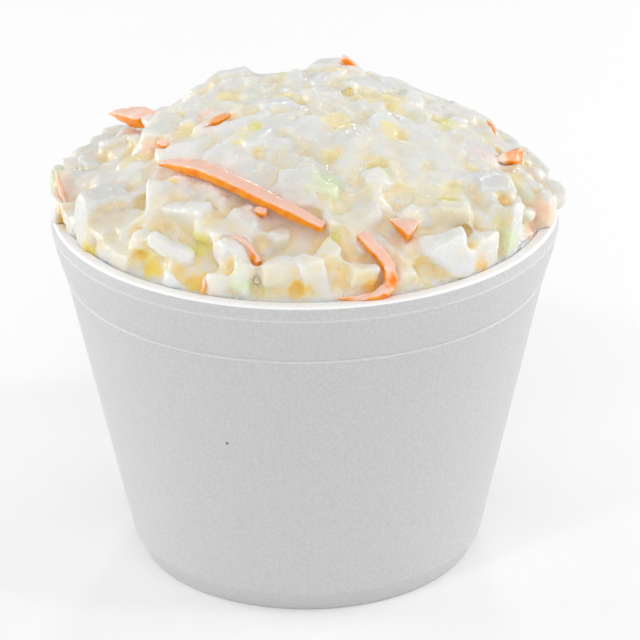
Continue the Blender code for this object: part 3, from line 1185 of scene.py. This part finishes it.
def fused(body):
    """The body's crossing solids as one skin of even cells, with its narrow gaps filled."""
    data = bpy.data.meshes.new("coat_source")
    body.to_mesh(data)
    body.free()
    source = bpy.data.objects.new("coat_source", data)
    bpy.context.scene.collection.objects.link(source)
    for distance in (FILLET, -FILLET):
        add_modifier(source, "REMESH", mode="VOXEL", voxel_size=VOXEL, adaptivity=0.0)
        add_modifier(source, "DISPLACE", strength=distance, mid_level=0.0)
    add_modifier(source, "SMOOTH", factor=0.5, iterations=2)
    made = evaluated(source)
    bpy.data.objects.remove(source)
    skin = bmesh.new()
    skin.from_mesh(made)
    bpy.data.meshes.remove(made)
    return skin


def keep_largest(body):
    """Removes pockets that the fusing left inside: all but the biggest connected surface."""
    unseen = set(body.verts)
    islands = []
    while unseen:
        island = {unseen.pop()}
        edge_of_search = set(island)
        while edge_of_search:
            edge_of_search = {
                edge.other_vert(vert) for vert in edge_of_search for edge in vert.link_edges
            } - island
            island |= edge_of_search
        unseen -= island
        islands.append(island)
    islands.sort(key=len)
    print("islands in the coat:", [len(island) for island in islands[-4:]])
    for island in islands[:-1]:
        bmesh.ops.delete(body, geom=sorted(island, key=lambda vert: vert.index), context="VERTS")


keep_clear(cabbage.body)
cabbage_mesh = bpy.data.meshes.new("cabbage")
cabbage.body.to_mesh(cabbage_mesh)
core.from_mesh(cabbage_mesh)
coat_body = fused(core)
knife_cut(coat_body, (0, 0, COAT_CUT), (0, 0, -1), nearest=1e-7)
keep_largest(coat_body)
print("the coat has", len(coat_body.verts), "points")

# %% [markdown]
# The film never covers the ribbons of carrot, because those were pushed in last. Where the coat
# lies over a ribbon or touches it, its points are moved down inside the ribbon. Rays and nearest
# places on a tree of the ribbons' faces tell where that is.

# %% lay the ribbons bare
CARROT_BARE = 0.4 * MM
CARROT_NEAR = 0.7 * MM
CARROT_COVER = 4.0 * MM


def under_carrot(place):
    """Moves a place of the coat that covers or touches a ribbon down inside the ribbon."""
    out = heap_outward(place.x, place.y)
    top = carrot_tree.ray_cast(place, -out, CARROT_COVER)[3]
    if top is not None:
        return place - out * (top + CARROT_BARE)
    spot, face_out, _, far = carrot_tree.find_nearest(place, CARROT_NEAR)
    if spot is None:
        return place
    side = far if (place - spot).dot(face_out) > 0 else -far
    push = max(0, CARROT_BARE + side) * (1 - max(0, side) / CARROT_NEAR)
    return place - out * push


print("dressing stays off carrot up to", round(CARROT_COVER / MM, 1), "mm deep")

# %% [markdown]
# Chance lays some pieces too high or too far out, and leaves some holes too deep. The coat is
# pressed back halfway toward the smooth heap there, as a spoon would do it, but never over a
# listed chunk. At the heap's steep edge its height over the heap says little, so a place is
# compared with the heap a little further in.

# %% press the heap even
LEAN_LEFT = 52.8 * MM
LEAN_RIGHT = 54.6 * MM
LEAN_FRONT = 50.2 * MM
LEAN_GIVE = 0.2
FRONT_TURNS = (-0.4, -0.1)  # the sine of the turn where the front ends, and where the side starts
PRESSING = 0.5
PROUD = 0.3 * MM
PIT = 2.0 * MM
CHUNK_CLEAR = (4 * MM, 7 * MM)
STEEP_SHARE = 0.93  # of the heap's reach: its steep edge starts there


def pressed(place):
    """Flattens what stands too proud, fills what lies too deep, and draws in what leans out."""
    turn, reach = atan2(place.y, place.x), place.xy.length
    widest = LEAN_LEFT + (LEAN_RIGHT - LEAN_LEFT) * (0.5 + 0.5 * cos(turn))
    widest = LEAN_FRONT + (widest - LEAN_FRONT) * smooth_share(sin(turn), *FRONT_TURNS)
    if reach > widest:
        scale = (widest + (reach - widest) * LEAN_GIVE) / reach
        place = Vector((place.x * scale, place.y * scale, place.z))
    inner = min(1, STEEP_SHARE * heap_reach(turn) / max(reach, MM))
    rise = place.z - heap_top(place.x * inner, place.y * inner)
    free = smooth_share(off_chunks(place.x, place.y), *CHUNK_CLEAR)
    lower = PRESSING * free * max(0, rise - PROUD)
    if inner == 1:
        lower -= PRESSING * max(0, -rise - PIT)
    return place - Vector((0, 0, lower))


print("the heap leans out to", round(LEAN_RIGHT / MM, 1), "mm at the right")

# %% [markdown]
# Moving points about can fold faces over each other. Those points, and the ones around them,
# are relaxed in a few rounds. Points that end just short of the wall are brought up against
# it, because a gap there would show as a dark line along the lip.

# %% unfold the skin and bring it to the wall
FOLDED = 0.2
UNFOLD_ROUNDS = 4
UNFOLD_STEPS = 6
SNUG_GAP = 1.3 * MM
SNUG_DEPTH = 2.0 * MM


def unfold(body):
    """Relaxes the points where faces have folded over each other, and those around them."""
    for _ in range(UNFOLD_ROUNDS):
        body.normal_update()
        folded = {
            vert
            for vert in body.verts
            if any(face.normal.dot(vert.normal) < FOLDED for face in vert.link_faces)
        }
        if not folded:
            break
        for _ in range(2):
            folded |= {edge.other_vert(vert) for vert in folded for edge in vert.link_edges}
        moved = sorted(folded, key=lambda vert: vert.index)
        for _ in range(UNFOLD_STEPS):
            bmesh.ops.smooth_vert(
                body, verts=moved, factor=0.5, use_axis_x=True, use_axis_y=True, use_axis_z=True
            )
    return len(folded)


def snug(body):
    """Brings points that end just short of the wall, near its lip, up against it."""
    for vert in body.verts:
        reach, limit = vert.co.xy.length, float(wall_inside(vert.co.z))
        if -SNUG_DEPTH < vert.co.z - CUP_HEIGHT < 0 and limit - SNUG_GAP < reach < limit:
            vert.co.x *= limit / reach
            vert.co.y *= limit / reach


print("at most", UNFOLD_ROUNDS, "rounds of relaxing")

# %% [markdown]
# The film isn't even. It runs thin in patches, where bare cabbage shows through, and gathers in
# others, with small lumps and runs on top. Each point of the coat is moved out by its own film,
# or in to the cabbage where the film is worn off, and then through the steps above.

# %% vary the film
FILM = 0.10 * MM
FILM_VARIES = 0.55 * MM
FILM_SIZE = 5.0 * MM
FILM_THINNEST = -0.1 * MM
BARE_FILM = 0.15 * MM
CLING = 0.7 * MM
LUMP = 0.22 * MM
LUMP_SIZE = 2.2 * MM

cabbage_tree = BVHTree.FromBMesh(cabbage.body)
coat_body.normal_update()
film_share = []
for vert in coat_body.verts:
    film = FILM + FILM_VARIES * noise.noise(vert.co / FILM_SIZE)
    film_share.append(film / FILM_VARIES)
    face_place, _, _, off = cabbage_tree.find_nearest(vert.co)
    bare = min(1.0, max(0.0, -film / BARE_FILM)) * max(0.0, 1 - off / CLING)
    lump = LUMP * noise.noise(vert.co / LUMP_SIZE)
    raised = vert.co + vert.normal * (max(film, FILM_THINNEST) + lump)
    vert.co = under_carrot(pressed(raised.lerp(face_place, bare)))
keep_clear(coat_body)
print("points relaxed in the last round:", unfold(coat_body))
snug(coat_body)
keep_clear(coat_body)
coat = add_piece("dressing", coat_body, dressing_finish, 0)
print("bare share:", round(sum(share < 0 for share in film_share) / len(film_share), 2))

# %% [markdown]
# ## The colour of the coat
#
# Juice from the cabbage runs down into the hollows and turns them yellow, and that yellow is
# also a painted warm shade. How hollow a place is comes from comparing the coat with a
# smoothed copy of itself, once closely and once broadly.

# %% hollows of the coat
CLOSE_ROUNDS = 25
BROAD_ROUNDS = 200


def read_points(data, name="co"):
    """A vector of every point of a mesh, as rows."""
    values = np.empty(len(data.vertices) * 3, np.float32)
    data.vertices.foreach_get(name, values)
    return values.reshape(-1, 3)


def hollowness(piece, rounds):
    """How far each point lies below a smoothed copy of the surface, in millimetres."""
    add_modifier(piece, "SMOOTH", factor=0.5, iterations=rounds)
    even = evaluated(piece)
    piece.modifiers.clear()
    away = read_points(even) - read_points(piece.data)
    bpy.data.meshes.remove(even)
    return (away * read_points(piece.data, "normal")).sum(1) / MM


close, broad = hollowness(coat, CLOSE_ROUNDS), hollowness(coat, BROAD_ROUNDS)
print("close hollows", np.percentile(close, [1, 10, 50, 90, 99]).round(2))
print("broad hollows", np.percentile(broad, [1, 10, 50, 90, 99]).round(2))

# %% [markdown]
# Some places have a tone of their own: a green leaf that shines through, or the pink of carrot
# under the film. Others are painted shade: the amber of a deep hollow, partly juice and partly
# a painted warm shade, and a painted grey shade under a chunk. These are painted as round
# spots with an uneven edge.

# %% tinted places
# Each spot: x and y and radius in millimetres, and for one in a hollow or on a tall chunk its
# rise over the heap. The others lie just under the heap's surface.
TINTS = {
    # amber in the hollows: partly juice, partly a painted warm shade
    "#f6d64a": (
        (-44.3, -24.8, 1.8, -2.4), (-32.4, -34.1, 1.3, -2.1), (-30.4, -36.9, 1.8, -3.4),
        (-27, -23, 1.5), (6, -41, 1.1),
    ),
    # golden-brown at the left lip: partly juice, partly a painted warm shade
    "#e4b22c": ((-49.7, -12.6, 1.6, -0.5), (-49.7, -10, 1.3, -3.0)),
    "#cdd69c": ((-52.4, -1.2, 2.4, 3.4), (-52.2, -4.0, 1.8, 1.2)),
    # golden spots: partly juice, partly a painted warm shade
    "#f4cc58": ((-21.2, -43, 2.0, -3.3), (-0.9, -47.9, 1.6, -1.8)),
    "#fcc860": ((14, -47, 2.0), (36, -36, 1.5)),
    # painted shade on the front of the block at the left shoulder
    "#e9dfc9": ((-43.3, -24.8, 2.2, 0.8), (-40.6, -24.8, 2.2, 0.8), (-37.6, -25.2, 2.0, 0.2)),
    "#f3e4b0": (
        (-24.5, -4.5, 1.8), (30, -24, 1.9), (24, -44, 1.6), (43, -9, 1.6), (-16, 7, 2.4),
        (-5, 3, 2.4), (13, 3, 2.6), (18, 5, 2.8), (6, -10, 3.0), (18, -11, 2.6), (6, -21, 1.9),
        (-35, -8, 2.8), (-31.5, -9, 1.8), (14, -22, 1.8), (34, -15, 1.6), (43, -4, 1.5),
        (6, 16, 2.2), (-8, -45, 2.2), (3, -42, 2.0),
    ),
    "#ece68c": (
        (38, -26, 2.0), (29, -28, 1.9), (-21, -38, 2.1), (-10, -12, 1.7), (-12, -16, 1.8),
        (29, 2, 1.5), (6, -39.5, 1.2), (-32, -36, 1.0), (-4, 20, 2.0), (34, 8, 1.4),
    ),
    "#dde8c4": (
        (4, -29, 3.0), (-48, -1, 2.6), (-53, 9, 1.8), (-12, -47, 1.6), (41, -28, 1.8),
        (37, 4, 1.6), (-51, 22, 1.6), (15, -25, 1.8), (53, 3, 1.6), (0, 26, 2.2),
    ),
    # peach at the right lip, under the lump that hangs over it
    "#f4d6bc": ((48.8, -13.4, 2.6, -0.6), (47.6, -15.4, 2.0, -2.0)),
    "#f6c09a": ((46.6, -17.4, 1.7, -3.6),),
    "#efe0da": ((35.8, -7.0, 2.2), (38.2, -6.0, 2.0)),
    "#f8d2ba": ((-20, -1, 1.9), (-32, -6, 1.8), (-35, 12, 2.0), (-9, -34, 1.4)),
}
TINT_RISE = -0.6
TINT_SPREAD = 1.2  # a spot's edge lies this many radii out
TINT_FADE = (-1.2, 1.0)  # from outside that edge to inside it
TINT_EDGE = 1.2
TINT_EDGE_SIZE = 1.7 * MM
TINT_SEARCH = 2.5  # radii
TINT_DEPTH = 0.9


def spot_on_heap(x, y, radius, rise=TINT_RISE):
    """The middle of a spot in space, and its radius in millimetres."""
    return Vector((x * MM, y * MM, heap_top(x * MM, y * MM) + rise * MM)), radius


def tint_share(place, spots):
    """How much of a tint's tone shows here: 1 inside a spot, with an uneven edge."""
    uneven = TINT_EDGE * noise.noise(place / TINT_EDGE_SIZE)
    best = 0.0
    for middle, radius in spots:
        away = (place - middle).length / MM
        if away < TINT_SEARCH * radius:
            best = max(best, smooth_share(TINT_SPREAD * radius + uneven - away, *TINT_FADE))
    return best


tints = [
    (np.array(linear(shade)), [spot_on_heap(*spot) for spot in spots])
    for shade, spots in TINTS.items()
]
print(sum(len(spots) for _, spots in tints), "tinted places in", len(tints), "tones")

# %% [markdown]
# Over a piece the film takes on its colour, and in the gaps it is plain cream. Hollows are
# yellow, and more so at the flanks and toward the front lip, where the juice drains: partly
# juice, partly a painted warm shade. The deepest are golden, also partly juice and partly
# painted shade, and beside carrot the dressing is stained pink. The flanks are painted a
# little darker, a painted shade.

# %% colour of every point
CREAM = "#e3e4e2"
# yellow of the hollows: partly juice, partly a painted warm shade
POOLED_AND_SHADE = "#f7eccf"
JUICY_AND_SHADE = "#f8e3ac"
# golden of the deepest hollows: partly juice, partly a painted warm shade
DEEP_HOLLOW_SHADE = "#fade84"
STAINED = "#ffecdc"
COVER_BASE = 0.32
# faces that point up get more cream: partly film on top, partly a painted highlight
COVER_UP_LIT = 0.33
COVER_FILM = 0.35
COVER_OFF = 0.35
COVER_LEAST = 0.1
COVER_MOST = 0.95
OFF_PIECE = 0.7 * MM
CLOSE_FULL = 0.35
BROAD_FULL = 1.0
POOL_AND_SHADE_DEPTH = 0.85
SUNK_FROM = 0.9
SUNK_RANGE = 1.2
SUNK_SHADE_DEPTH = 0.8
STAIN_REACH = 2.0 * MM
STAIN_SEARCH = 5 * MM
STAIN_DEPTH = 0.65
FLANK_RANGE = (26 * MM, 44 * MM)
# painted shade: the flanks of the heap are painted a little darker
FLANK_PAINTED_SHADE = np.array((0.10, 0.105, 0.10, 0.0))

cream, pooled_and_shade, deep, stained, juicy_and_shade = (
    np.array(linear(shade)) for shade in (CREAM, POOLED_AND_SHADE, DEEP_HOLLOW_SHADE, STAINED, JUICY_AND_SHADE)
)


def clipped(share):
    return min(1.0, max(0.0, share))


def blended(tone, other, share):
    return tone + (other - tone) * share


def film_cover(up, film, far):
    """How much the film hides: more where it is thick and off the pieces, and more on faces that point
    up, partly film on top and partly a painted highlight.
    """
    cover = COVER_BASE + COVER_UP_LIT * max(0.0, up) + COVER_FILM * film
    cover += COVER_OFF * (1 - exp(-far / OFF_PIECE))
    return min(COVER_MOST, max(COVER_LEAST, cover))


def coat_tone(place, up, film, close_hollow, broad_hollow):
    """The colour of one point of the coat, with painted warm shade in the hollows and painted shade on
    the flanks.
    """
    _, _, face, far = cabbage_tree.find_nearest(place)
    cover = film_cover(up, film, far)
    tone = cabbage_tones[face] * (1 - cover) + cream * cover
    pool_and_shade = 0.5 * clipped(close_hollow / CLOSE_FULL) + 0.5 * clipped(broad_hollow / BROAD_FULL)
    near_lip = smooth_share(max(abs(place.x), -place.y), *FLANK_RANGE)
    # hollows turn yellow: juice and a painted warm shade
    tone = blended(tone, blended(pooled_and_shade, juicy_and_shade, near_lip), pool_and_shade * POOL_AND_SHADE_DEPTH)
    # the deepest hollows turn golden: juice and a painted warm shade
    tone = blended(tone, deep, clipped((broad_hollow - SUNK_FROM) / SUNK_RANGE) * SUNK_SHADE_DEPTH)
    near = carrot_tree.find_nearest(place, STAIN_SEARCH)[3]
    if near is not None:
        tone = blended(tone, stained, STAIN_DEPTH * exp(-((near / STAIN_REACH) ** 2)))
    for tint, spots in tints:
        share = tint_share(place, spots)
        if share:
            tone = blended(tone, tint, share * TINT_DEPTH)
    # painted shade, darker toward the flanks
    return tone * (1 - smooth_share(abs(place.x), *FLANK_RANGE) * FLANK_PAINTED_SHADE)


cabbage.body.faces.ensure_lookup_table()
cabbage_tones = [
    sum(cabbage.colours[vert.index] for vert in face.verts) / len(face.verts)
    for face in cabbage.body.faces
]
ups = read_points(coat.data, "normal")[:, 2]
facts = zip(coat.data.vertices, ups, film_share, close, broad)
tones = [coat_tone(vert.co, *measures) for vert, *measures in facts]
set_colours(coat.data, tones)
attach(coat, "root")
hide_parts("coleslaw")
print("mean colour of the coat:", np.mean(tones, axis=0).round(3))
